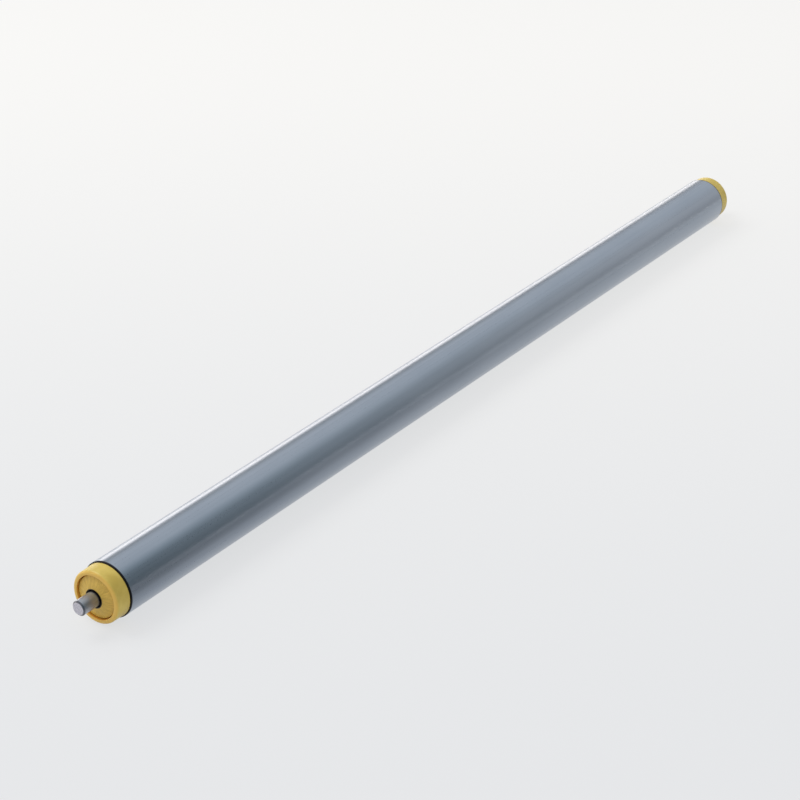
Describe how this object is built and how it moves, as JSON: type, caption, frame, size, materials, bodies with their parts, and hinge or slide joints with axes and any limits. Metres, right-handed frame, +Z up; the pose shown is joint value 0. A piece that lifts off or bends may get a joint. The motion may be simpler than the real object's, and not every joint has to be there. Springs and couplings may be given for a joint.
{
  "type": "conveyor roller",
  "caption": "Gravity conveyor roller: a plain steel tube on moulded ball bearings with yellow collars, turning on a spring-loaded through axle.",
  "frame": {"origin": "middle of the roller, on the axis of the axle and halfway along the tube", "axes": "+X along the axle towards the end with the spring, +Z up"},
  "size_m": [0.6418, 0.03, 0.03],
  "materials": {
    "tube_steel": "zinc plated, satin, drawn along its length",
    "axle_steel": "bright drawn bar with a sawn and chamfered end",
    "yellow_housing": "moulded, half gloss",
    "yellow_disc": "moulded, fine radial grain",
    "ring_plastic": "moulded, natural",
    "ball_steel": "polished",
    "spring_steel": "bright spring wire",
    "clip_steel": "dark phosphated",
    "washer_steel": "zinc plated"
  },
  "bodies": {
    "axle_body": {"axle": "axle_steel", "stop_clip": "clip_steel", "spring_clip": "clip_steel", "spring_washer": "washer_steel", "axle_spring": "spring_steel"},
    "bearing_seats": {"left_inner_ring": "ring_plastic", "right_inner_ring": "ring_plastic", "left_end_disc": "yellow_disc", "right_end_disc": "yellow_disc"},
    "shell": {"tube": "tube_steel", "left_housing": "yellow_housing", "right_housing": "yellow_housing"},
    "left_ball_set": {"left_ball_1": "ball_steel", "left_ball_2": "ball_steel", "left_ball_3": "ball_steel", "left_ball_4": "ball_steel", "left_ball_5": "ball_steel", "left_ball_6": "ball_steel", "left_ball_7": "ball_steel", "left_ball_8": "ball_steel", "left_ball_9": "ball_steel", "left_ball_10": "ball_steel"},
    "right_ball_set": {"right_ball_1": "ball_steel", "right_ball_2": "ball_steel", "right_ball_3": "ball_steel", "right_ball_4": "ball_steel", "right_ball_5": "ball_steel", "right_ball_6": "ball_steel", "right_ball_7": "ball_steel", "right_ball_8": "ball_steel", "right_ball_9": "ball_steel", "right_ball_10": "ball_steel"}
  },
  "joints": [
    {"name": "axle_slide", "type": "slide", "parent": "axle_body", "child": "bearing_seats", "axis": [-1, 0, 0], "range_m": [0, 0.012], "stiffness_N_per_m": 1830, "springref_m": -0.012, "deforming": ["axle_spring"]},
    {"name": "roller_spin", "type": "hinge", "parent": "bearing_seats", "child": "shell", "pos_m": [0, 0, 0], "axis": [1, 0, 0], "continuous": true},
    {"name": "left_ball_orbit", "type": "hinge", "parent": "bearing_seats", "child": "left_ball_set", "pos_m": [0, 0, 0], "axis": [1, 0, 0], "continuous": true},
    {"name": "right_ball_orbit", "type": "hinge", "parent": "bearing_seats", "child": "right_ball_set", "pos_m": [0, 0, 0], "axis": [1, 0, 0], "continuous": true}
  ],
  "couplings": [
    {"joint": "left_ball_orbit", "follows": "roller_spin", "ratio": 0.6439},
    {"joint": "right_ball_orbit", "follows": "roller_spin", "ratio": 0.6439}
  ]
}
